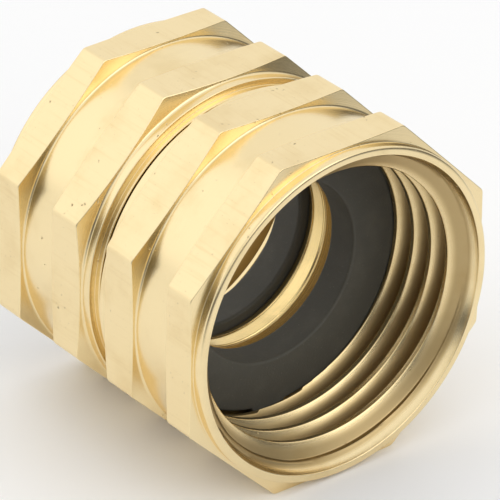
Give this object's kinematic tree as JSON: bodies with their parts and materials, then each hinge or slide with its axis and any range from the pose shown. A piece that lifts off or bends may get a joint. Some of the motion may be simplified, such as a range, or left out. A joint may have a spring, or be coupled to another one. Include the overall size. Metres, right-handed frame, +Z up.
{
  "type": "union fitting",
  "caption": "Double female swivel union for garden hoses: octagonal nuts that turn freely on a short flanged sleeve, with a rubber washer in each mouth.",
  "frame": {"origin": "middle of the sleeve, on the fitting's axis, halfway between the two mouths", "axes": "+X along the fitting's axis towards the front mouth, +Z up with both nuts lying on one flat, +Y square to both"},
  "size_m": [0.0284, 0.0304, 0.0304],
  "materials": {
    "nut_brass": "pale satin brass, lightly tumbled flats and bright turned faces",
    "sleeve_brass": "bright turned brass",
    "washer_rubber": "matt charcoal rubber"
  },
  "bodies": {
    "sleeve": {"sleeve": "sleeve_brass"},
    "front_nut": {"front_nut": "nut_brass", "front_washer": "washer_rubber"},
    "rear_nut": {"rear_nut": "nut_brass", "rear_washer": "washer_rubber"}
  },
  "joints": [
    {"name": "front_swivel", "type": "hinge", "parent": "sleeve", "child": "front_nut", "pos_m": [0.00055, 0, 0], "axis": [1, 0, 0], "continuous": true},
    {"name": "rear_swivel", "type": "hinge", "parent": "sleeve", "child": "rear_nut", "pos_m": [-0.00055, 0, 0], "axis": [-1, 0, 0], "continuous": true}
  ]
}
